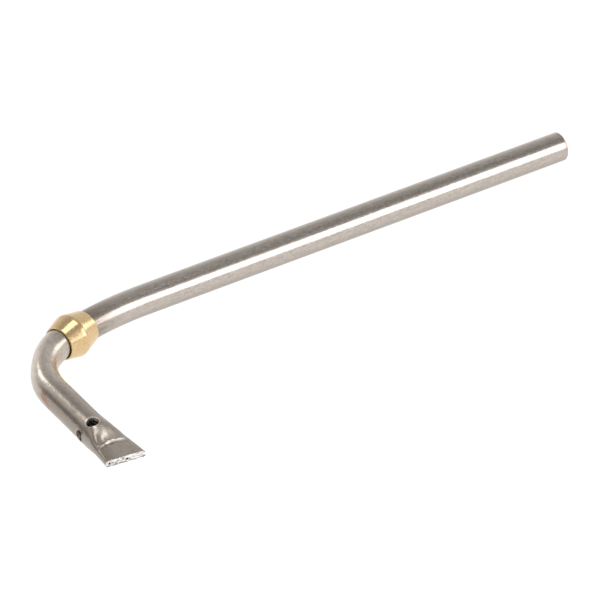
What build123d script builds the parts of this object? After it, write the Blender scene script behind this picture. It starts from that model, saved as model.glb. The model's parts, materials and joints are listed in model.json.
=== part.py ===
from build123d import *
import os

# A gas pilot tube with its loose compression sleeve, in millimetres.
#
# The origin is the centre of the open inlet end. +X points out of the inlet, so the long leg
# runs towards -X. A gentle neck and then a tight elbow turn the tube by 88 degrees, nearly to -Y,
# where its short leg ends in a tip that is crushed flat. +Z is normal to the plane of the bends.
# The outside of the bends faces -X along the short leg, and the gas ports are on that side.

# Tube and its route
TUBE_DIAMETER = 6.35
WALL = 0.71
LONG_LEG = 104.9
NECK_RADIUS = 67.6
NECK_TURN = 18.0
ELBOW_RADIUS = 16.4
ELBOW_TURN = 70.0
ELBOW_SQUEEZE = 0.88
ELBOW_SWELL = 1.03
SHORT_LEG = 26.3
EDGE_BREAK = 0.1

# Crushed tip: each section is (distance back from the tip's end, width, height, width of its flats)
CRUSH_LENGTH = 9.4
STEP_SECTION = (4.8, 7.6, 2.4, 5.6)
END_SECTION = (0.0, 8.8, 1.45, 7.6)
CROWN = 0.04
PINCH_GAP = 0.12
TIP_INWARD = 0.4  # the crushed sections sit this far towards the inside of the bends

# Gas ports: distance back from the tip's end, and turn from +Z towards -X
PORT_DIAMETER = 2.35
PORTS = ((10.4, 16.0), (11.5, 92.0))

# Compression sleeve: a ring with a cone on each side of its ridge, and where it rests on the neck
SLEEVE_BORE = 6.8
SLEEVE_RIDGE = 9.3
SLEEVE_END = 7.16
SLEEVE_LAND = 0.3
SLEEVE_FRONT = 3.8
SLEEVE_BACK = 4.2
RIDGE_ROUNDING = 0.3
SLEEVE_TURN = 16.2
SLEEVE_TILT = 1.0
SLEEVE_INWARD = 0.09
SLEEVE_SAG = 0.08

TUBE_RADIUS = TUBE_DIAMETER / 2
BORE_RADIUS = TUBE_RADIUS - WALL

os.makedirs("parts", exist_ok=True)

# Centre line of the tube, from the inlet to the end of the tip
with BuildLine():
    long_leg = Line((0, 0), (-LONG_LEG, 0))
    neck = JernArc(long_leg @ 1, long_leg % 1, NECK_RADIUS, NECK_TURN)
    elbow = JernArc(neck @ 1, neck % 1, ELBOW_RADIUS, ELBOW_TURN)
    short_leg = Line(elbow @ 1, (elbow @ 1) + (elbow % 1) * SHORT_LEG)


def section_at(line, place):
    """A plane square to the centre line, with its x in the plane of the bends and its y up."""
    along = line % place
    return Plane(origin=line @ place, x_dir=Vector(0, 0, 1).cross(along), z_dir=along)


def back_from_tip(distance, inward=0):
    section = section_at(short_leg, 1 - distance / SHORT_LEG)
    return Plane(section.origin + section.x_dir * inward, section.x_dir, section.z_dir)


def four_arcs(width, height, corner):
    """A closed outline of four arcs that meet at the corner (x, y) and its mirror images."""
    x, y = corner
    ThreePointArc((x, y), (0, height / 2), (-x, y))
    ThreePointArc((-x, y), (-width / 2, 0), (-x, -y))
    ThreePointArc((-x, -y), (0, -height / 2), (x, -y))
    ThreePointArc((x, -y), (width / 2, 0), (x, y))


def rounded_corner(width, height):
    """Where four arcs meet when they stand for an ellipse: on its curve, an eighth of a turn round."""
    eighth = 0.5**0.5
    return eighth * width / 2, eighth * height / 2


def flattened_corner(height, flat):
    """Where four arcs meet when two of them are nearly flat faces, flat wide, with a slight crown."""
    return flat / 2, height / 2 - CROWN


with BuildPart() as pilot_tube:
    # Round tube: the solid rod first, then its bore
    for radius, mode in ((TUBE_RADIUS, Mode.ADD), (BORE_RADIUS, Mode.SUBTRACT)):
        with BuildSketch(section_at(long_leg, 0)):
            Circle(radius)
        sweep(path=Wire([long_leg, neck]), mode=mode)

        # Bending squeezes the elbow in the plane of the bend and swells it across
        for place, squeeze, swell in ((0, 1, 1), (0.5, ELBOW_SQUEEZE, ELBOW_SWELL), (1, 1, 1)):
            with BuildSketch(section_at(elbow, place)):
                Ellipse(radius * swell, radius * squeeze, rotation=90)
        sweep(path=elbow, multisection=True, mode=mode)

        with BuildSketch(section_at(short_leg, 0)):
            Circle(radius)
        extrude(amount=SHORT_LEG - CRUSH_LENGTH, mode=mode)

    # Crushed tip: a ramp down to the step, then the nearly flat end
    with BuildSketch(back_from_tip(CRUSH_LENGTH)):
        with BuildLine():
            four_arcs(TUBE_DIAMETER, TUBE_DIAMETER, rounded_corner(TUBE_DIAMETER, TUBE_DIAMETER))
        make_face()
    for distance, width, height, flat in (STEP_SECTION, END_SECTION):
        with BuildSketch(back_from_tip(distance, TIP_INWARD)):
            with BuildLine():
                four_arcs(width, height, flattened_corner(height, flat))
            make_face()
    loft(ruled=True)

    # Its hollow narrows to a pinched gap at the step, where the walls meet
    pinch_place, _, _, step_flat = STEP_SECTION
    round_hollow = (CRUSH_LENGTH, 0, 2 * BORE_RADIUS, 2 * BORE_RADIUS)
    pinched_hollow = (pinch_place, TIP_INWARD, step_flat - 2 * WALL, PINCH_GAP)
    for distance, inward, width, height in (round_hollow, pinched_hollow):
        with BuildSketch(back_from_tip(distance, inward)):
            with BuildLine():
                four_arcs(width, height, rounded_corner(width, height))
            make_face()
    loft(ruled=True, mode=Mode.SUBTRACT)

    # Gas ports through one wall each
    for distance, turn in PORTS:
        section = back_from_tip(distance)
        outwards = section.y_dir.rotate(Axis(section.origin, section.z_dir), turn)
        with BuildSketch(Plane(origin=section.origin, x_dir=section.z_dir, z_dir=outwards)):
            Circle(PORT_DIAMETER / 2)
        extrude(amount=TUBE_DIAMETER, mode=Mode.SUBTRACT)

    inlet_rims = pilot_tube.edges().filter_by(GeomType.CIRCLE).group_by(Axis.X)[-1]
    chamfer(inlet_rims, EDGE_BREAK)

pilot_tube.part.label = "pilot_tube"
export_step(pilot_tube.part, "parts/pilot_tube.step")

# Where the sleeve rests: cocked a little towards the elbow, drawn in and hanging on the neck
rest = section_at(neck, SLEEVE_TURN / NECK_TURN)
rest_heading = rest.z_dir.rotate(Axis.Z, SLEEVE_TILT)
rest_origin = rest.origin + rest.x_dir * SLEEVE_INWARD - Vector(0, 0, SLEEVE_SAG)

with BuildPart() as compression_sleeve:
    with BuildSketch(Plane(origin=rest_origin, x_dir=rest_heading, z_dir=(0, 0, 1))):
        with BuildLine():
            Polyline(
                (SLEEVE_FRONT, SLEEVE_BORE / 2),
                (SLEEVE_FRONT, SLEEVE_END / 2),
                (SLEEVE_LAND / 2, SLEEVE_RIDGE / 2),
                (-SLEEVE_LAND / 2, SLEEVE_RIDGE / 2),
                (-SLEEVE_BACK, SLEEVE_END / 2),
                (-SLEEVE_BACK, SLEEVE_BORE / 2),
                close=True,
            )
        make_face()
    revolve(axis=Axis(rest_origin, rest_heading))
    ridge = compression_sleeve.edges().filter_by(GeomType.CIRCLE).sort_by(SortBy.RADIUS)[-2:]
    fillet(ridge, RIDGE_ROUNDING)

compression_sleeve.part.label = "compression_sleeve"
export_step(compression_sleeve.part, "parts/compression_sleeve.step")
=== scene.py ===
import json
from math import asin, cos, pi, radians, sin, tan, tau

import bmesh
import bpy
import numpy as np
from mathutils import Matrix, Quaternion, Vector, noise


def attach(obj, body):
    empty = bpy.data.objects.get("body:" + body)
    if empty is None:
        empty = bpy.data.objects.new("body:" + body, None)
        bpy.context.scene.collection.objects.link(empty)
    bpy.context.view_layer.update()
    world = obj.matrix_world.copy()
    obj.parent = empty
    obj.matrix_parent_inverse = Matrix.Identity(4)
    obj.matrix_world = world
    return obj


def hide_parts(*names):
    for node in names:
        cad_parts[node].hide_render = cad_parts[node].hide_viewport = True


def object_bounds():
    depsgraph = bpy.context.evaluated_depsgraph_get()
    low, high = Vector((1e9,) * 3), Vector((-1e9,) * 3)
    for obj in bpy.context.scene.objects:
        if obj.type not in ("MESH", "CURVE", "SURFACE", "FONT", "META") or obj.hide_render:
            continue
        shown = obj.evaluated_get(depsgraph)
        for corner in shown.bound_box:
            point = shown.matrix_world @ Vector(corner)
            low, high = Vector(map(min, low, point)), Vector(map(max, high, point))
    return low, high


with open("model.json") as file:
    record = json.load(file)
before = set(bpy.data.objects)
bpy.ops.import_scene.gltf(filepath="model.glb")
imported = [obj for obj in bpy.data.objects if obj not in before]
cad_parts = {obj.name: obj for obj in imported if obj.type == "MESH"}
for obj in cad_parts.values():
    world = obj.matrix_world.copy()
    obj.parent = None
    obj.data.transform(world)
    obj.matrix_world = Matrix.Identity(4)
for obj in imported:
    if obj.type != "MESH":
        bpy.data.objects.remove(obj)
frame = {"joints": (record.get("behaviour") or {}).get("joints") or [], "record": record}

cad_low, cad_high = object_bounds()

# A bent gas pilot tube with a loose brass compression sleeve. The shapes below are worked out in
# millimetres in the CAD frame, and MM turns them into metres where a mesh is made.
MM = 0.001

# ------------------------------------------------------------------ Sizes and places from the frame
mounts = {mount["name"]: mount for mount in frame["record"]["mounts"]}
sleeve_travel = frame["joints"][0]

TUBE_RADIUS = mounts["inlet_end"]["dims"]["r_mm"]
LONG_LEG = mounts["inlet_end"]["dims"]["length_mm"]
NECK_CENTRE = np.array(sleeve_travel["pos_m"][:2]) / MM
NECK_RADIUS = -NECK_CENTRE[1]
SLEEVE_PLACE = np.array(mounts["sleeve_cones"]["pos_m"]) / MM
SLEEVE_AXIS = np.array(mounts["sleeve_cones"]["axis"])

# The rest of the CAD part's sizes, which the record doesn't tell
WALL = 0.71
NECK_TURN = radians(18.0)
ELBOW_TURN = radians(70.0)
ELBOW_RADIUS = 16.4
ELBOW_SQUEEZE = 0.15
ELBOW_SWELL = 0.03
SHORT_LEG = 26.3
PORT_RADIUS = 1.175
SLEEVE_RIDGE_RADIUS = 4.65
SLEEVE_END_RADIUS = 3.58
SLEEVE_LAND = 0.3
SLEEVE_FRONT = 3.8
SLEEVE_BACK = 4.2

# Ports: distance back from the end of the tip, and angle from +Z towards the outside of the bends
PORTS = ((10.4, radians(16.0)), (11.5, radians(92.0)))

BORE_RADIUS = TUBE_RADIUS - WALL
NECK_LENGTH = NECK_RADIUS * NECK_TURN
ELBOW_LENGTH = ELBOW_RADIUS * ELBOW_TURN
NECK_END = LONG_LEG + NECK_LENGTH
ELBOW_END = NECK_END + ELBOW_LENGTH
ELBOW_CENTRE = NECK_CENTRE + (NECK_RADIUS - ELBOW_RADIUS) * np.array([-sin(NECK_TURN), cos(NECK_TURN)])
TUBE_LENGTH = ELBOW_END + SHORT_LEG


# ------------------------------------------------------------------ Small helpers
def rise(x, low, high):
    """0 below low, 1 above high, and smooth between them."""
    x = np.clip((x - low) / (high - low), 0, 1)
    return x * x * (3 - 2 * x)


def fall(x, low, high):
    """1 below low, 0 above high, and smooth between them."""
    return 1 - rise(x, low, high)


def bump(x, centre, width):
    return np.exp(-(((x - centre) / width) ** 2))


def wave(x, height, per_mm, phase=0):
    return height * np.sin(per_mm * x + phase)


def curve(x, points):
    """Straight stretches through (x, y) points, with their corners rounded over a millimetre."""
    xs, ys = zip(*points)
    return sum(np.interp(x + shift, xs, ys) for shift in (-0.5, -0.25, 0, 0.25, 0.5)) / 5


def round_axis(length, radius, angle):
    """Points at lengths along an axis, and at a radius and angles round it."""
    return np.stack([length, radius * np.sin(angle), radius * np.cos(angle)], -1)


def route(s):
    """At lengths s from the inlet, the centre line's (x, y) and the way to the outside of the bends."""
    round_neck = np.clip(s - LONG_LEG, 0, NECK_LENGTH) / NECK_RADIUS
    round_elbow = np.clip(s - NECK_END, 0, ELBOW_LENGTH) / ELBOW_RADIUS
    turned = round_neck + round_elbow
    outside = np.stack([-np.sin(turned), np.cos(turned)], -1)
    along = np.stack([-np.cos(turned), -np.sin(turned)], -1)
    on_long_leg = np.stack([-s, np.zeros_like(s)], -1)
    on_neck = NECK_CENTRE + NECK_RADIUS * outside
    on_elbow = ELBOW_CENTRE + ELBOW_RADIUS * outside
    on_short_leg = on_elbow + along * (s - ELBOW_END)[..., None]
    xy = np.where((s <= LONG_LEG)[..., None], on_long_leg, on_neck)
    xy = np.where((s > NECK_END)[..., None], on_elbow, xy)
    xy = np.where((s > ELBOW_END)[..., None], on_short_leg, xy)
    return xy, outside


# ------------------------------------------------------------------ Crushed tip
# u is the distance back from the tip's end, p runs towards the outside of the bends, and z is up.
CRUSH_REACH = 14.0
TIP_SHIFT = 0.5                 # how far the tip is pushed towards the inside of the bends

# The jaw's edge in the top: it bows towards the end on both sides of a middle, and more so at its outer
# corner, and is a little wavy
JAW_EDGE = 4.7
JAW_CROWN = 0.12
JAW_MIDDLE = 0.7
JAW_BOW = 0.04
JAW_CORNER = (1.0, 1.8)
JAW_CORNER_CUT = 0.3
JAW_WAVE = (0.05, 2.2, 2)
JAW_STEP = 0.1                  # half the width of the step down from the ramp to the flat

# The lip pushed up behind the jaw's edge
LIP_HEIGHT = 0.13
LIP_WAVE = (0.04, 5.3)
LIP_BEHIND = 0.3
LIP_WIDTH = 0.25

# Heights of the pressed faces, and half sizes of the outline that they cut, at places u
END_HALF_HEIGHT = 0.725
RAMP = ((4.0, 1.32), (5.0, 1.44), (6.5, 1.82), (7.6, 2.25), (8.9, 2.78), (10.2, 3.34), (14.0, 5.2))
FLAT = ((-1.0, 0.68), (0.0, END_HALF_HEIGHT), (3.0, 1.02), (5.5, 1.2))
BELOW = ((-1.0, 0.68), (0.0, END_HALF_HEIGHT), (1.5, 0.86), (5.0, 1.4), (7.0, 2.0), (10.4, 3.3), (14.0, 5.0))
HALF_WIDTH = ((-1.0, 4.4), (0.0, 4.32), (5.3, 3.78), (8.9, 3.42), (13.0, TUBE_RADIUS), (15.0, TUBE_RADIUS))
HALF_HEIGHT = ((-1.0, 2.13), (4.7, 2.13), (6.0, 2.4), (7.5, 2.9), (9.6, TUBE_RADIUS), (15.0, TUBE_RADIUS))

# The dimple in the ramp, beside its outer crease: the line of its middle, and where it deepens and fades
DIMPLE_DEPTH = 0.32
DIMPLE_WIDTH = 1.0
DIMPLE_LINE = ((4.0, 1.7), (5.7, 1.3), (8.3, 0.6), (10.0, 0.1))
DIMPLE_DEEPENS = (4.7, 5.6)
DIMPLE_FADES = (6.1, 8.3)

# Softness of the creases where the faces meet the outline, outside and in the bore
OUTER_CREASE = 0.2
INNER_CREASE = 0.03

# The bore is pressed to a slit, but for gaps with a half height, a place p and a width: a drop-shaped
# one at the outer fold, and a nick near the middle
PINCHED = 0.006
GAPS = ((0.42, 3.25, 0.5), (0.26, -0.8, 0.3))

# The end is cut out of square by a slope, and raggedly by some waves, and each fades out up the tube
END_SLOPE = 0.085
END_SLOPE_REACH = 4.0
RAGGED_WAVES = ((0.06, 3.1), (0.03, 8.3, 1))
RAGGED_REACH = 0.8


def jaw_edge(p):
    """u where the jaw's edge pressed into the top."""
    bowed = JAW_BOW * (p - JAW_MIDDLE) ** 2 + JAW_CORNER_CUT * rise(p, *JAW_CORNER)
    return JAW_EDGE + JAW_CROWN - bowed + wave(p, *JAW_WAVE)


def top_face(u, p):
    """Height of the pressed top: a ramp with a dimple, then a lip, a step and a flat."""
    past_edge = u - jaw_edge(p)
    dimple = DIMPLE_DEPTH * bump(p, curve(u, DIMPLE_LINE), DIMPLE_WIDTH)
    dimple *= rise(u, *DIMPLE_DEEPENS) * fall(u, *DIMPLE_FADES)
    lip = (LIP_HEIGHT + wave(p, *LIP_WAVE)) * bump(past_edge, LIP_BEHIND, LIP_WIDTH)
    ramp = curve(u, RAMP) + lip - dimple
    flat = curve(u, FLAT)
    return flat + (ramp - flat) * rise(past_edge, -JAW_STEP, JAW_STEP)


def soft_limit(z, top, crease):
    """z held below top, with a small round where the two meet."""
    return z - crease * np.logaddexp(0, (z - top) / crease)


SECTION_STEP = 0.05
SECTION_POINTS = 721
section_places = np.arange(-0.6, CRUSH_REACH + SECTION_STEP, SECTION_STEP)
section_angles = np.linspace(0, tau, 481)


def crushed_section(u, inset):
    """(p, z) at equal shares of the section's girth at u, drawn in by inset: 0, or the wall for the bore."""
    around = np.linspace(0, tau, SECTION_POINTS)
    p = (curve(u, HALF_WIDTH) - inset) * np.sin(around) - TIP_SHIFT * fall(u, 0, CRUSH_REACH)
    z = (curve(u, HALF_HEIGHT) - inset) * np.cos(around)
    top, bottom, crease = top_face(u, p), curve(u, BELOW), OUTER_CREASE
    if inset:
        crease = INNER_CREASE
        gap = PINCHED + sum(height * bump(p, place, width) for height, place, width in GAPS)
        top, bottom = np.maximum(top - inset, gap), np.maximum(bottom - inset, gap)
    z = -soft_limit(-soft_limit(z, top, crease), bottom, crease)
    girth = np.concatenate([[0], np.cumsum(np.hypot(np.diff(p), np.diff(z)))])
    wanted = section_angles / tau * girth[-1]
    return np.stack([np.interp(wanted, girth, p), np.interp(wanted, girth, z)], -1)


sections = {inset: np.array([crushed_section(u, inset) for u in section_places]) for inset in (0, WALL)}


def look_up_section(inset, u, angle):
    """(p, z) read from the worked-out sections, with a straight line between neighbours."""
    last_row, last_column = len(section_places) - 1, len(section_angles) - 1
    row = np.clip((np.minimum(u, CRUSH_REACH) - section_places[0]) / SECTION_STEP, 0, last_row)
    column = (angle % tau) / tau * last_column
    i, j = np.minimum(row.astype(int), last_row - 1), np.minimum(column.astype(int), last_column - 1)
    down, across = (row - i)[..., None], (column - j)[..., None]
    table = sections[inset]
    near = table[i, j] * (1 - across) + table[i, j + 1] * across
    far = table[i + 1, j] * (1 - across) + table[i + 1, j + 1] * across
    return near * (1 - down) + far * down


# ------------------------------------------------------------------ The tube's two surfaces
BURR_HEIGHT = 0.1
BURR_WIDTH = 0.16
SQUEEZE_REACH = 5.6             # how far the elbow's squeeze spreads from its middle
FOLLOW_REACH = 1.6              # how far from the jaw's edge the mesh rows still follow it

# Slight dents from bending and crushing: how deep and how long they are, how many go round the tube, and
# how much finer the half as deep ones on top of them are
DENT_DEPTH = 0.03
DENT_LENGTH = 3.0
DENTS_AROUND = 1.3
FINER_DENTS = 2.7


def port_burr(s, angle):
    """A thin ring of metal pushed up round each port."""
    lift = np.zeros_like(s)
    for u, turn in PORTS:
        off_centre = np.hypot(s - (TUBE_LENGTH - u), TUBE_RADIUS * np.sin(angle - turn))
        this_side = np.cos(angle - turn) > 0
        lift += BURR_HEIGHT * this_side * bump(off_centre, PORT_RADIUS + BURR_WIDTH, BURR_WIDTH)
    return lift


def unevenness(s, angle):
    """The dents, none on the long leg."""
    strength = DENT_DEPTH * rise(s, NECK_END - 5, NECK_END + 5)
    dents = np.zeros_like(s)
    for at in map(tuple, np.argwhere(strength > 0)):
        across, up = DENTS_AROUND * cos(angle[at]), DENTS_AROUND * sin(angle[at])
        place = Vector((s[at] / DENT_LENGTH, across, up))
        dents[at] = noise.noise(place) + noise.noise(place * FINER_DENTS) / 2
    return strength * dents


def end_skew(u, p):
    """How far the uneven cut shifts a point towards the end."""
    ragged = sum(wave(p, *ragged_wave) for ragged_wave in RAGGED_WAVES)
    return END_SLOPE * p * fall(u, 0, END_SLOPE_REACH) + ragged * fall(u, 0, RAGGED_REACH)


def tube_surface(s, angle, inset):
    """Points of the outside (inset 0) or the bore (inset WALL), at lengths s and angles from +Z outwards."""
    radius = TUBE_RADIUS - inset
    bent = bump(s, (NECK_END + ELBOW_END) / 2, SQUEEZE_REACH)
    p = radius * np.sin(angle) * (1 - ELBOW_SQUEEZE * bent)
    z = radius * np.cos(angle) * (1 + ELBOW_SWELL * bent)
    u = TUBE_LENGTH - s
    first_p = look_up_section(inset, u, angle)[..., 0]
    followed = (jaw_edge(first_p) - JAW_EDGE) * bump(u, JAW_EDGE, FOLLOW_REACH)
    s = s - followed
    u = u + followed
    crushed = look_up_section(inset, u, angle)
    p = np.where(u < CRUSH_REACH, crushed[..., 0], p)
    z = np.where(u < CRUSH_REACH, crushed[..., 1], z)
    lift = unevenness(s, angle) + (0 if inset else port_burr(s, angle))
    p = p + lift * np.sin(angle)
    z = z + lift * np.cos(angle)
    xy, outside = route(s - end_skew(u, p))
    return np.concatenate([xy + outside * p[..., None], z[..., None]], -1)


# ------------------------------------------------------------------ Meshes
SHARP_ANGLE = radians(38)


def add_object(name, data):
    item = bpy.data.objects.new(name, data)
    bpy.context.scene.collection.objects.link(item)
    return item


class Shell:
    """Points in millimetres, faces and material slots, collected for one mesh."""

    def __init__(self):
        self.points, self.straightened, self.faces, self.slots = [], [], [], []

    def add_points(self, xyz, straightened):
        """Adds a grid of points, with their places as if the tube were straight, and gives their numbers."""
        first = len(self.points)
        self.points.extend(xyz.reshape(-1, 3))
        self.straightened.extend(straightened.reshape(-1, 3))
        return np.arange(first, len(self.points)).reshape(xyz.shape[:-1])

    def add_face(self, corners, slot):
        self.faces.append(tuple(int(corner) for corner in corners))
        self.slots.append(slot)

    def add_strip(self, first, second, slot):
        """Faces between two closed loops of points."""
        for k in range(len(first)):
            n = (k + 1) % len(first)
            self.add_face((first[k], second[k], second[n], first[n]), slot)

    def make(self, name, materials):
        """The object, without the points that no face uses, and with its straightened attribute."""
        mesh = bpy.data.meshes.new(name)
        mesh.from_pydata(np.array(self.points) * MM, [], self.faces)
        for material in materials:
            mesh.materials.append(material)
        mesh.polygons.foreach_set("material_index", self.slots)
        layer = mesh.attributes.new("straightened", "FLOAT_VECTOR", "POINT")
        layer.data.foreach_set("vector", np.array(self.straightened, np.float32).ravel())
        work = bmesh.new()
        work.from_mesh(mesh)
        bmesh.ops.delete(work, geom=[vert for vert in work.verts if not vert.link_faces], context="VERTS")
        work.to_mesh(mesh)
        work.free()
        mesh.shade_smooth()
        mesh.set_sharp_from_angle(angle=SHARP_ANGLE)
        mesh.validate()
        return add_object(name, mesh)


# ------------------------------------------------------------------ Mesh of the tube
AROUND = 144                          # cells round the tube
CELL = TUBE_RADIUS * tau / AROUND     # their size, and that of the rows near the tip
PATCH = 14                            # half the side, in cells, of the square patch round a port
RIM = 8                               # half the side, in cells, of the square that becomes its rim
PORT_EDGE = 0.1                       # size of the broken edge round a port
EDGE_BREAK = 0.11                     # depth and length of the broken edges at the inlet
BROKEN_EDGE = 0.18
JAW_ZONE = (0.8, 0.6)                 # how far before and past the jaw's edge the rows are closest
INLET_ROWS = 4                        # rows on the inlet's broken edge, and so on from there to the tip
LONG_LEG_ROWS = 60
NECK_ROWS = 30
ELBOW_ROWS = 56
SHORT_LEG_ROWS = 24
JAW_ROWS = 28
END_ROWS = 30
OUTSIDE, BORE, INLET_FACE, TIP_FACE, PORT_WALL = range(5)


def row_lengths():
    """Lengths s of the mesh rows: coarse on the straight leg, finer round the bends, finest at the tip."""
    fine_rows = int((CRUSH_REACH + 1) / CELL)
    fine = TUBE_LENGTH - np.arange(fine_rows, -1, -1) * CELL
    jaw_start, jaw_end = TUBE_LENGTH - JAW_EDGE - JAW_ZONE[0], TUBE_LENGTH - JAW_EDGE + JAW_ZONE[1]
    return np.concatenate([
        np.linspace(0, BROKEN_EDGE, INLET_ROWS),
        np.linspace(1, LONG_LEG, LONG_LEG_ROWS, endpoint=False),
        np.linspace(LONG_LEG, NECK_END, NECK_ROWS, endpoint=False),
        np.linspace(NECK_END, ELBOW_END, ELBOW_ROWS, endpoint=False),
        np.linspace(ELBOW_END, fine[0], SHORT_LEG_ROWS, endpoint=False),
        fine[fine < jaw_start],
        np.linspace(jaw_start, jaw_end, JAW_ROWS, endpoint=False),
        np.linspace(jaw_end, TUBE_LENGTH, END_ROWS),
    ])


def square_ring(m):
    """Corners of the cells on a square ring with half side m, in order round it, from (m, -m)."""
    side = range(-m, m)
    right, top = [(m, b) for b in side], [(-b, m) for b in side]
    left, low = [(-m, -b) for b in side], [(b, -m) for b in side]
    return right + top + left + low


def fit_patch(s_grid, angle_grid, port, row, column, inset):
    """Moves the grid's corners round a port so that its square rings turn into circles towards the rim."""
    u, turn = port
    hole = PORT_RADIUS + (0 if inset else PORT_EDGE)
    grid_s, grid_angle = s_grid[row, 0], angle_grid[0, column]
    for m in range(RIM, PATCH):
        settled = (m - RIM) / (PATCH - RIM)
        for k, (a, b) in enumerate(square_ring(m)):
            way = -pi / 4 + tau * k / (8 * m)
            rim_s = TUBE_LENGTH - u + hole * cos(way)
            rim_angle = turn + asin(hole * sin(way) / (TUBE_RADIUS - inset))
            square_s = grid_s + PATCH * CELL * a / m
            square_angle = grid_angle + PATCH * CELL * b / m / TUBE_RADIUS
            at = row + a, (column + b) % AROUND
            s_grid[at] = rim_s + settled * (square_s - rim_s)
            angle_grid[at] = rim_angle + settled * (square_angle - rim_angle)


def in_port(i, j, centres):
    """Whether the cell from row i and column j is in the opening of a port."""
    return any(-RIM <= i - row < RIM and (j - column + RIM) % AROUND < 2 * RIM for row, column in centres)


def add_surface(shell, rows, angles, centres, inset, slot):
    """The outside or the bore, open at the ports. Gives its grid of point numbers and of straight places."""
    s_grid, angle_grid = np.meshgrid(rows, angles, indexing="ij")
    for port, (row, column) in zip(PORTS, centres):
        fit_patch(s_grid, angle_grid, port, row, column, inset)
    xyz = tube_surface(s_grid, angle_grid, inset)
    drawn_in = EDGE_BREAK * np.clip(1 - rows / BROKEN_EDGE, 0, 1)[:, None] ** 2 * (-1 if inset else 1)
    xyz[..., 1] -= drawn_in * np.sin(angle_grid)
    xyz[..., 2] -= drawn_in * np.cos(angle_grid)
    straightened = round_axis(s_grid, TUBE_RADIUS - inset, angle_grid)
    grid = shell.add_points(xyz, straightened)
    for i in range(len(rows) - 1):
        for j in range(AROUND):
            if not in_port(i, j, centres):
                n = (j + 1) % AROUND
                face = grid[i, j], grid[i, n], grid[i + 1, n], grid[i + 1, j]
                shell.add_face(face[::-1] if inset else face, slot)
    return grid, straightened


def add_port_wall(shell, outside, straightened, bore, row, column):
    """A port's broken edge, and its wall straight through the tube's."""
    rim = tuple(np.array([(row + a, (column + b) % AROUND) for a, b in square_ring(RIM)]).T)
    outer, inner = outside[rim], bore[rim]
    top, low = np.array(shell.points)[outer], np.array(shell.points)[inner]
    inward = top.mean(0) - top
    inward /= np.linalg.norm(inward, axis=1)[:, None]
    down = low.mean(0) - top.mean(0)
    down /= np.linalg.norm(down)
    edge = shell.add_points(top + (inward + down) * PORT_EDGE, straightened[rim])
    shell.add_strip(outer, edge, OUTSIDE)
    shell.add_strip(edge, inner, PORT_WALL)


def build_tube(materials):
    rows = row_lengths()
    angles = np.arange(AROUND) * tau / AROUND
    centres = [(np.argmin(abs(rows - (TUBE_LENGTH - u))), round(turn / tau * AROUND)) for u, turn in PORTS]
    shell = Shell()
    outside, straightened = add_surface(shell, rows, angles, centres, 0, OUTSIDE)
    bore, _ = add_surface(shell, rows, angles, centres, WALL, BORE)
    shell.add_strip(outside[0], bore[0], INLET_FACE)
    shell.add_strip(bore[-1], outside[-1], TIP_FACE)
    for row, column in centres:
        add_port_wall(shell, outside, straightened, bore, row, column)
    return shell.make("pilot_tube_formed", materials)


# ------------------------------------------------------------------ Mesh of the sleeve
SLEEVE_AROUND = 160
SLEEVE_ROWS = 90
SLEEVE_BORE_ROWS = 16
SLEEVE_BORE_RADIUS = 3.32       # a little tighter than the CAD bore
RIDGE_SOFTNESS = 0.06
SLEEVE_EDGE = 0.05              # size of its broken edges


def sleeve_outside(t):
    """Radius of the sleeve's outside at t along it: two cones and the land between them, softly joined."""
    slope = SLEEVE_RIDGE_RADIUS - SLEEVE_END_RADIUS
    front = SLEEVE_END_RADIUS + slope * (SLEEVE_FRONT - t) / (SLEEVE_FRONT - SLEEVE_LAND / 2)
    back = SLEEVE_END_RADIUS + slope * (SLEEVE_BACK + t) / (SLEEVE_BACK - SLEEVE_LAND / 2)
    cones = np.logaddexp(-front / RIDGE_SOFTNESS, -back / RIDGE_SOFTNESS)
    return -RIDGE_SOFTNESS * np.logaddexp(cones, -SLEEVE_RIDGE_RADIUS / RIDGE_SOFTNESS)


def build_sleeve(materials):
    """A ring turned about the sleeve's axis. t runs along it from the inlet side towards the elbow."""
    t_outside = np.linspace(-SLEEVE_BACK + SLEEVE_EDGE, SLEEVE_FRONT - SLEEVE_EDGE, SLEEVE_ROWS)
    t_bore = np.linspace(SLEEVE_FRONT - SLEEVE_EDGE, -SLEEVE_BACK + SLEEVE_EDGE, SLEEVE_BORE_ROWS)
    rim_outer, rim_inner = SLEEVE_END_RADIUS - SLEEVE_EDGE, SLEEVE_BORE_RADIUS + SLEEVE_EDGE
    profile = [(t, r) for t, r in zip(t_outside, sleeve_outside(t_outside))]
    profile += [(SLEEVE_FRONT, rim_outer), (SLEEVE_FRONT, rim_inner)]
    profile += [(t, SLEEVE_BORE_RADIUS) for t in t_bore]
    profile += [(-SLEEVE_BACK, rim_inner), (-SLEEVE_BACK, rim_outer)]
    t, r = (np.array(values)[:, None] for values in zip(*profile))
    local = round_axis(*np.broadcast_arrays(t, r, np.arange(SLEEVE_AROUND) * tau / SLEEVE_AROUND))
    ahead = -SLEEVE_AXIS
    up = np.array((0, 0, 1))
    shell = Shell()
    grid = shell.add_points(SLEEVE_PLACE + local @ np.array([ahead, np.cross(up, ahead), up]), local)
    for i, row in enumerate(grid):
        shell.add_strip(row, grid[(i + 1) % len(grid)], 0)
    return shell.make("compression_sleeve_turned", materials)


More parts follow.
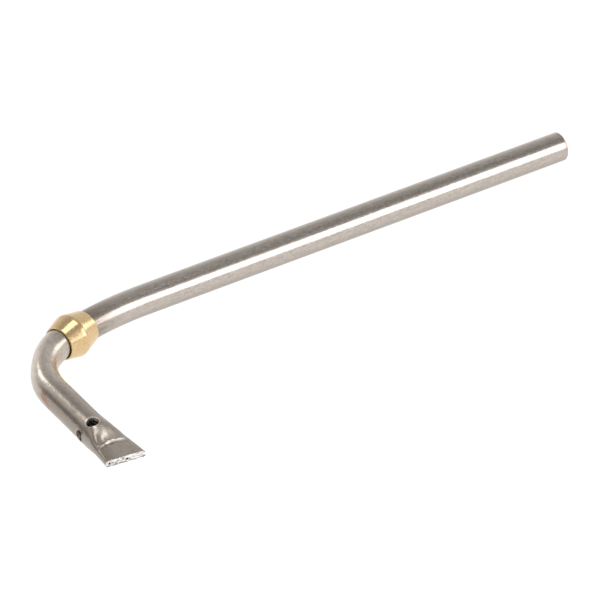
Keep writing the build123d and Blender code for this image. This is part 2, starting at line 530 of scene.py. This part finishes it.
# ------------------------------------------------------------------ Nodes
class Nodes:
    """Adds nodes to a node tree."""

    def __init__(self, tree):
        self.tree = tree

    def add(self, kind, inputs=None, **settings):
        """A new node with its settings, and its inputs as in put."""
        node = self.tree.nodes.new(kind)
        for name, value in settings.items():
            setattr(node, name, value)
        for name, value in (inputs or {}).items():
            self.put(node.inputs[name], value)
        return node

    def put(self, socket, value):
        """Links a socket to another one, or gives it a fixed value."""
        if isinstance(value, bpy.types.NodeSocket):
            self.tree.links.new(value, socket)
        else:
            socket.default_value = value

    def spread(self, value, low, high, to_low, to_high):
        """value from low..high to to_low..to_high, smoothly and clamped."""
        inputs = {"Value": value, "From Min": low, "From Max": high, "To Min": to_low, "To Max": to_high}
        return self.add("ShaderNodeMapRange", inputs, interpolation_type="SMOOTHSTEP").outputs["Result"]

    def reach(self, place, way):
        """How far a place is along the unit vector way."""
        return self.add("ShaderNodeVectorMath", {0: place, 1: way}, operation="DOT_PRODUCT").outputs["Value"]

    def ramp(self, value, *stops):
        """A colour ramp with (position, linear colour) stops."""
        node = self.add("ShaderNodeValToRGB", {"Fac": value})
        elements = node.color_ramp.elements
        while len(elements) < len(stops):
            elements.new(1.0)
        for element, (position, colour) in zip(elements, stops):
            element.position = position
            element.color = (*colour, 1)
        return node.outputs["Color"]


class Finish(Nodes):
    """A metal whose nodes read the straightened attribute, in millimetres along and across the tube."""

    def __init__(self, name):
        self.material = bpy.data.materials.new(name)
        self.material.use_nodes = True
        super().__init__(self.material.node_tree)
        self.place = self.add("ShaderNodeAttribute", attribute_name="straightened").outputs["Vector"]
        split = self.add("ShaderNodeSeparateXYZ", {"Vector": self.place})
        self.along, self.outwards, self.up = (split.outputs[axis] for axis in "XYZ")

    def math(self, operation, *values):
        node = self.add("ShaderNodeMath", dict(enumerate(values)), operation=operation)
        return node.outputs[0]

    def all_of(self, first, *others):
        """The product of several masks."""
        for other in others:
            first = self.math("MULTIPLY", first, other)
        return first

    def most_of(self, first, *others):
        """The highest of several masks."""
        for other in others:
            first = self.math("MAXIMUM", first, other)
        return first

    def rise(self, value, low, high):
        return self.spread(value, low, high, 0, 1)

    def fall(self, value, low, high):
        return self.spread(value, low, high, 1, 0)

    def between(self, value, start, full, fade, end):
        """1 from full to fade, and 0 before start and after end."""
        return self.math("MULTIPLY", self.rise(value, start, full), self.fall(value, fade, end))

    def off(self, value, centre):
        """How far value is from centre, either way."""
        return self.math("ABSOLUTE", self.math("SUBTRACT", value, centre))

    def length_of(self, x, y):
        """The length of the vector (x, y)."""
        vector = self.add("ShaderNodeCombineXYZ", {"X": x, "Y": y}).outputs["Vector"]
        return self.add("ShaderNodeVectorMath", {0: vector}, operation="LENGTH").outputs["Value"]

    def noise(self, scale, stretch=1.0, detail=4.0, roughness=0.55):
        """Noise from 0 to 1, with features about 1 / scale mm across and stretch times as long."""
        drawn = self.add("ShaderNodeMapping", {"Vector": self.place, "Scale": (1 / stretch, 1, 1)})
        inputs = {"Vector": drawn.outputs["Vector"], "Scale": scale, "Detail": detail, "Roughness": roughness}
        return self.add("ShaderNodeTexNoise", inputs).outputs["Fac"]

    def mix(self, share, first, second):
        node = self.add("ShaderNodeMix", {"Factor": share}, data_type="RGBA")
        for name, colour in (("A", first), ("B", second)):
            self.put(node.inputs[name], colour if isinstance(colour, bpy.types.NodeSocket) else (*colour, 1))
        return node.outputs["Result"]

    def surface(self, colour, metallic, roughness, *bumps):
        """The finished material, with layers of bump from (height, depth in mm) pairs."""
        inputs = {"Base Color": colour, "Metallic": metallic, "Roughness": roughness}
        for height, depth in bumps:
            layer = {"Height": height, "Distance": depth * MM, "Strength": 1.0}
            if "Normal" in inputs:
                layer["Normal"] = inputs["Normal"]
            inputs["Normal"] = self.add("ShaderNodeBump", layer).outputs["Normal"]
        shader = self.tree.nodes["Principled BSDF"]
        for name, value in inputs.items():
            self.put(shader.inputs[name], value)
        return self.material


# ------------------------------------------------------------------ Materials
STEEL = (0.545, 0.492, 0.446)
STEEL_DARK = (0.415, 0.365, 0.322)
STEEL_WORKED = (0.58, 0.515, 0.45)
STEEL_WORKED_DARK = (0.475, 0.415, 0.36)
# Rubbed bright steel, used as a painted highlight along the jaw's lip and on the port rims
STEEL_RUBBED_AND_HIGHLIGHT = (0.86, 0.82, 0.77)
STAIN = (0.34, 0.20, 0.11)
RUST = (0.35, 0.14, 0.065)
# Grime past the elbow, and painted shade on the underside, on the neck by the sleeve and under the jaw's lip
GRIME_AND_SHADE = (0.24, 0.20, 0.165)
BORE_DARK = (0.30, 0.26, 0.22)
BORE_LIGHT = (0.62, 0.56, 0.49)
SAWN_DARK = (0.36, 0.32, 0.28)
SAWN_LIGHT = (0.50, 0.45, 0.41)
DRILLED_DARK = (0.17, 0.14, 0.115)
DRILLED_LIGHT = (0.92, 0.88, 0.83)
TORN_DARK = (0.34, 0.31, 0.28)
TORN_LIGHT = (0.95, 0.93, 0.90)
TORN_RIM = (0.22, 0.19, 0.17)
BRASS_DARK = (0.59, 0.41, 0.21)
BRASS_LIGHT = (0.76, 0.555, 0.305)

PORT_RIM_HIGHLIGHT = (0.38, 0.2)        # how much each port's rim is rubbed bright and lightened as a painted highlight


def drawn_colour(finish, streaks, mottle, bent):
    """Streaked on the straight leg, warmer and blotched where it was bent, and dulled past the elbow."""
    streaked, mottled = finish.math("MULTIPLY", streaks, 0.35), finish.math("MULTIPLY", mottle, 0.65)
    drawn = finish.ramp(finish.math("ADD", streaked, mottled), (0.34, STEEL_DARK), (0.62, STEEL))
    blotch = finish.noise(1.3, stretch=1.8, detail=5, roughness=0.65)
    worked = finish.mix(finish.rise(blotch, 0.42, 0.66), STEEL_WORKED, STEEL_WORKED_DARK)
    dulled = finish.all_of(
        finish.spread(finish.along, ELBOW_END - 6, ELBOW_END + 6, 0, 0.52),
        finish.spread(finish.along, TUBE_LENGTH - 13, TUBE_LENGTH - 7, 1, 0.55),
    )
    return finish.mix(dulled, finish.mix(bent, drawn, worked), GRIME_AND_SHADE)


def rust_streak(finish, streaks):
    """Mask of the slanting rusty streak on the outside just past the elbow."""
    line = finish.spread(finish.along, ELBOW_END - 0.5, ELBOW_END + 4, 1.3, -1.0)
    return finish.all_of(
        finish.spread(finish.off(finish.up, line), 0.6, 1.25, 0.9, 0),
        finish.rise(finish.outwards, 2.4, 2.9),
        finish.between(finish.along, ELBOW_END - 0.8, ELBOW_END + 0.4, ELBOW_END + 2.2, ELBOW_END + 4.2),
        finish.spread(streaks, 0.35, 0.55, 0.4, 1),
    )


def brown_stains(finish, streaks):
    """Mask of the brown inside the elbow, on the neck's outer edge and on the top of the inlet's rim."""
    inside_elbow = finish.all_of(
        finish.fall(finish.outwards, -3.1, -2.2),
        finish.between(finish.along, NECK_END + 3, NECK_END + 8, ELBOW_END - 6, ELBOW_END),
    )
    neck_edge = finish.all_of(
        finish.rise(finish.outwards, 1.3, 2.6),
        finish.between(finish.along, LONG_LEG + 3, LONG_LEG + 8, LONG_LEG + 11, LONG_LEG + 16),
    )
    inlet_rim = finish.all_of(
        finish.fall(finish.along, 0.2, 1.1),
        finish.rise(finish.up, 0, 1.5),
        finish.spread(streaks, 0.3, 0.6, 0.5, 1),
    )
    return finish.math("MULTIPLY", finish.most_of(inside_elbow, neck_edge, inlet_rim), 0.45)


def shade_and_darkening(finish, streaks):
    """Mask of painted shade on the underside and, in streaks, on the neck by the sleeve, and of a darkening
    on the outside past the elbow.
    """
    # Painted shade, darker towards the underside
    under_shade = finish.spread(finish.up, -2.1, 0.2, 0.6, 0)
    # Painted shade, in streaks, on the neck by the sleeve, dimming its highlight there
    sleeve_shade = finish.all_of(
        finish.spread(finish.along, LONG_LEG + 5, LONG_LEG + 15, 0, 0.85),
        finish.fall(finish.along, NECK_END - 3, NECK_END + 7),
        finish.spread(streaks, 0.36, 0.6, 0.4, 1),
    )
    outer_side = finish.all_of(
        finish.spread(finish.along, ELBOW_END - 5, ELBOW_END + 4, 0, 0.5),
        finish.rise(finish.outwards, 1.0, 2.7),
    )
    return finish.most_of(under_shade, sleeve_shade, outer_side)


def port_rim_highlight(finish, port, rim_highlight):
    """Mask of a port's raised rim, rubbed bright and lightened as a painted highlight on its burr."""
    u, turn = port
    sideways = finish.reach(finish.place, (0, cos(turn), -sin(turn)))
    facing = finish.reach(finish.place, (0, sin(turn), cos(turn)))
    off_centre = finish.length_of(sideways, finish.math("SUBTRACT", finish.along, TUBE_LENGTH - u))
    return finish.all_of(finish.spread(off_centre, 1.3, 1.6, rim_highlight, 0), finish.rise(facing, 0, 1))


def steel_outside():
    """Drawn steel with stains, grime and painted shade, port rims rubbed and lightened as a painted
    highlight, and the marks of the jaw that crushed the tip, with a painted highlight along its lip and
    painted shade just past it.
    """
    finish = Finish("drawn_steel")
    streaks = finish.noise(3.2, stretch=9, detail=5)
    mottle = finish.noise(2.1, stretch=1.6, detail=6, roughness=0.65)
    bent = finish.rise(finish.along, LONG_LEG - 2, NECK_END + 2)
    from_edge = finish.math("SUBTRACT", finish.along, TUBE_LENGTH - JAW_EDGE)
    on_top = finish.rise(finish.up, 0.3, 0.8)
    # A painted highlight along the jaw's lip
    lip_highlight = finish.all_of(
        finish.fall(finish.off(from_edge, -0.1), 0.05, 0.16),
        finish.spread(streaks, 0.3, 0.5, 0.35, 1),
        finish.between(finish.outwards, -2.7, -2.0, 1.2, 1.9),
        on_top,
    )
    # Painted shade on the flat just past the jaw's edge, under the lip
    shade_under_lip = finish.all_of(
        finish.spread(finish.off(from_edge, 0.35), 0.15, 0.4, 0.75, 0),
        finish.between(finish.outwards, -1.6, -0.8, 2.0, 2.6),
        finish.rise(finish.noise(2.4, detail=3), 0.42, 0.56),
        on_top,
    )
    colour = drawn_colour(finish, streaks, mottle, bent)
    layers = [(rust_streak(finish, streaks), RUST), (brown_stains(finish, streaks), STAIN)]
    layers += [(shade_and_darkening(finish, streaks), GRIME_AND_SHADE), (shade_under_lip, GRIME_AND_SHADE)]
    layers += [(port_rim_highlight(finish, port, rim_highlight), STEEL_RUBBED_AND_HIGHLIGHT) for port, rim_highlight in zip(PORTS, PORT_RIM_HIGHLIGHT)]
    for mask, shade in [*layers, (lip_highlight, STEEL_RUBBED_AND_HIGHLIGHT)]:
        colour = finish.mix(mask, colour, shade)
    crushed = finish.spread(finish.along, TUBE_LENGTH - 10.5, TUBE_LENGTH - 8, 0, 0.06)
    extra = finish.most_of(crushed, finish.math("MULTIPLY", lip_highlight, 0.25))
    roughness = finish.spread(mottle, 0.3, 0.7, 0.19, 0.26)
    roughness = finish.math("ADD", roughness, finish.math("MULTIPLY", bent, 0.045))
    roughness = finish.math("ADD", roughness, extra)
    bites = finish.all_of(finish.noise(3.5, detail=3), finish.rise(from_edge, -0.3, 0.5), on_top)
    return finish.surface(colour, 1.0, roughness, (streaks, 0.004), (mottle, 0.004), (bites, 0.03))


def steel_bore():
    finish = Finish("bore_steel")
    scale = finish.noise(1.6, stretch=3, detail=5)
    colour = finish.ramp(scale, (0.3, BORE_DARK), (0.7, BORE_LIGHT))
    return finish.surface(colour, 0.3, finish.spread(scale, 0.3, 0.7, 0.42, 0.6), (scale, 0.03))


def steel_cut(name, scale, dark, light, roughness, depth):
    """A sawn or drilled surface, with fine tearing across it."""
    finish = Finish(name)
    torn = finish.noise(scale, detail=6, roughness=0.7)
    colour = finish.ramp(torn, (0.33, dark), (0.62, light))
    return finish.surface(colour, 1.0, finish.spread(torn, 0.3, 0.7, *roughness), (torn, depth))


def sheared_tip():
    """The end's face: torn bright in patches, and dull along its lower rim."""
    finish = Finish("sheared_steel")
    torn = finish.noise(1.1, detail=2.5, roughness=0.6)
    radius = finish.length_of(finish.outwards, finish.up)
    lower_rim = finish.all_of(
        finish.spread(radius, BORE_RADIUS + 0.25, TUBE_RADIUS - 0.15, 0, 0.9),
        finish.fall(finish.up, -0.6, 0),
        finish.spread(torn, 0.35, 0.6, 1, 0.6),
    )
    colour = finish.mix(lower_rim, finish.ramp(torn, (0.36, TORN_DARK), (0.56, TORN_LIGHT)), TORN_RIM)
    return finish.surface(colour, 1.0, finish.spread(torn, 0.3, 0.7, 0.24, 0.38), (torn, 0.09))


def turned_brass():
    """Brass with the fine rings of the turning tool."""
    finish = Finish("turned_brass")
    settings = {"W": finish.along, "Scale": 9.0, "Detail": 3.0}
    rings = finish.add("ShaderNodeTexNoise", settings, noise_dimensions="1D").outputs["Fac"]
    speck = finish.noise(2.6, detail=5)
    colour = finish.ramp(speck, (0.32, BRASS_DARK), (0.66, BRASS_LIGHT))
    roughness = finish.spread(speck, 0.3, 0.7, 0.15, 0.22)
    return finish.surface(colour, 0.76, roughness, (rings, 0.002), (speck, 0.001))


# ------------------------------------------------------------------ Camera, light and floor
CAMERA_AZIMUTH = radians(-34.21)
CAMERA_ELEVATION = radians(33.57)
CAMERA_DISTANCE = 0.960
CAMERA_LENS = 285.2
TARGET = Vector((-0.07874, -0.01782, 0))
FLOOR_WHITE = 1.04
FLOOR_HALF_SIDE = 3.0

# Name, azimuth, elevation, width and height of each panel light in degrees, its radiance, and its roll
LIGHT_DISTANCE = 1.4
SOFTBOXES = (
    ("right_softbox", 108, 26, 23, 35, 2.2, -18),
    ("back_left_softbox", -48, 30.5, 11, 19, 2.5, 0),
    ("far_left_softbox", -67, 32, 16, 12, 0.3, 0),
    ("overhead_softbox", 35, 85, 28, 26, 1.9, 0),
    ("back_right_softbox", 62, 23, 24, 15, 1.75, 0),
    ("low_right_softbox", 49, 12, 22, 7, 1.2, 0),
)

# The studio's brightness at sines of the elevation, from the horizon up
STUDIO = ((0.0, FLOOR_WHITE), (0.09, 0.94), (0.26, 0.84), (0.5, 0.73), (0.71, 0.575), (0.87, 0.43))
# Azimuth and elevation of each dim stretch, how far it spreads in degrees, and the brightness left
DIM_STRETCHES = ((-82, 3, 26, 0.3), (-30, 48, 30, 0.85), (66, 61, 21, 0.72))


def direction(azimuth, elevation):
    """Unit vector at degrees clockwise from the way the camera faces, and above the horizon."""
    heading = radians(azimuth) - CAMERA_AZIMUTH
    tilt = radians(elevation)
    return Vector((sin(heading) * cos(tilt), cos(heading) * cos(tilt), sin(tilt)))


def add_camera():
    camera = add_object("camera", bpy.data.cameras.new("camera"))
    camera.data.lens = CAMERA_LENS
    camera.data.clip_start = 0.05
    away = direction(0, 0) * cos(CAMERA_ELEVATION) - Vector((0, 0, sin(CAMERA_ELEVATION)))
    camera.location = TARGET - CAMERA_DISTANCE * away
    camera.rotation_mode = "QUATERNION"
    camera.rotation_quaternion = away.to_track_quat("-Z", "Y")
    bpy.context.scene.camera = camera


def add_softbox(name, azimuth, elevation, width, height, radiance, roll):
    """A panel light that spans width by height degrees as seen from the object, rolled by some degrees."""
    data = bpy.data.lights.new(name, "AREA")
    data.shape = "RECTANGLE"
    data.size = 2 * LIGHT_DISTANCE * tan(radians(width / 2))
    data.size_y = 2 * LIGHT_DISTANCE * tan(radians(height / 2))
    # An area light's radiance is its power over four times its area
    data.energy = radiance * 4 * data.size * data.size_y
    light = add_object(name, data)
    towards = direction(azimuth, elevation)
    light.location = TARGET + LIGHT_DISTANCE * towards
    light.rotation_mode = "QUATERNION"
    light.rotation_quaternion = (-towards).to_track_quat("-Z", "Y") @ Quaternion((0, 0, 1), radians(roll))
    light.visible_camera = False


def add_world():
    """A pale studio: white at the horizon, greyer overhead, with dim stretches."""
    world = bpy.data.worlds.new("studio")
    world.use_nodes = True
    nodes = Nodes(world.node_tree)
    way = nodes.add("ShaderNodeTexCoord").outputs["Generated"]
    split = nodes.add("ShaderNodeSeparateXYZ", {"Vector": way})
    colour = nodes.ramp(split.outputs["Z"], *((place, (level, level, level)) for place, level in STUDIO))
    for azimuth, elevation, reach, left in DIM_STRETCHES:
        facing = nodes.reach(way, direction(azimuth, elevation))
        dimmed = nodes.spread(facing, cos(radians(reach)), 1.0, 1.0, left)
        scaled = nodes.add("ShaderNodeVectorMath", {0: colour, "Scale": dimmed}, operation="SCALE")
        colour = scaled.outputs["Vector"]
    nodes.put(world.node_tree.nodes["Background"].inputs["Color"], colour)
    bpy.context.scene.world = world


def add_floor():
    """A white light table under the object's lowest point."""
    corners = [(x * FLOOR_HALF_SIDE, y * FLOOR_HALF_SIDE, 0) for x, y in ((-1, -1), (1, -1), (1, 1), (-1, 1))]
    mesh = bpy.data.meshes.new("floor")
    mesh.from_pydata(corners, [], [(0, 1, 2, 3)])
    floor = add_object("floor", mesh)
    floor.location = (TARGET.x, TARGET.y, cad_low.z)
    material = bpy.data.materials.new("light_table")
    material.use_nodes = True
    shader = material.node_tree.nodes["Principled BSDF"]
    shader.inputs["Base Color"].default_value = (0.1, 0.1, 0.1, 1)
    shader.inputs["Roughness"].default_value = 1.0
    shader.inputs["Specular IOR Level"].default_value = 0.0
    shader.inputs["Emission Color"].default_value = (1, 1, 1, 1)
    shader.inputs["Emission Strength"].default_value = FLOOR_WHITE
    mesh.materials.append(material)


bpy.context.scene.view_settings.view_transform = "Standard"
add_camera()
add_world()
add_floor()
for softbox in SOFTBOXES:
    add_softbox(*softbox)

# ------------------------------------------------------------------ The pieces
inlet_cut = steel_cut("sawn_steel", 5.5, SAWN_DARK, SAWN_LIGHT, (0.26, 0.42), 0.01)
port_wall = steel_cut("drilled_steel", 1.1, DRILLED_DARK, DRILLED_LIGHT, (0.37, 0.53), 0.03)
tube = build_tube([steel_outside(), steel_bore(), inlet_cut, sheared_tip(), port_wall])
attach(tube, "tube")
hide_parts("pilot_tube")

sleeve = build_sleeve([turned_brass()])
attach(sleeve, "sleeve")
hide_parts("compression_sleeve")
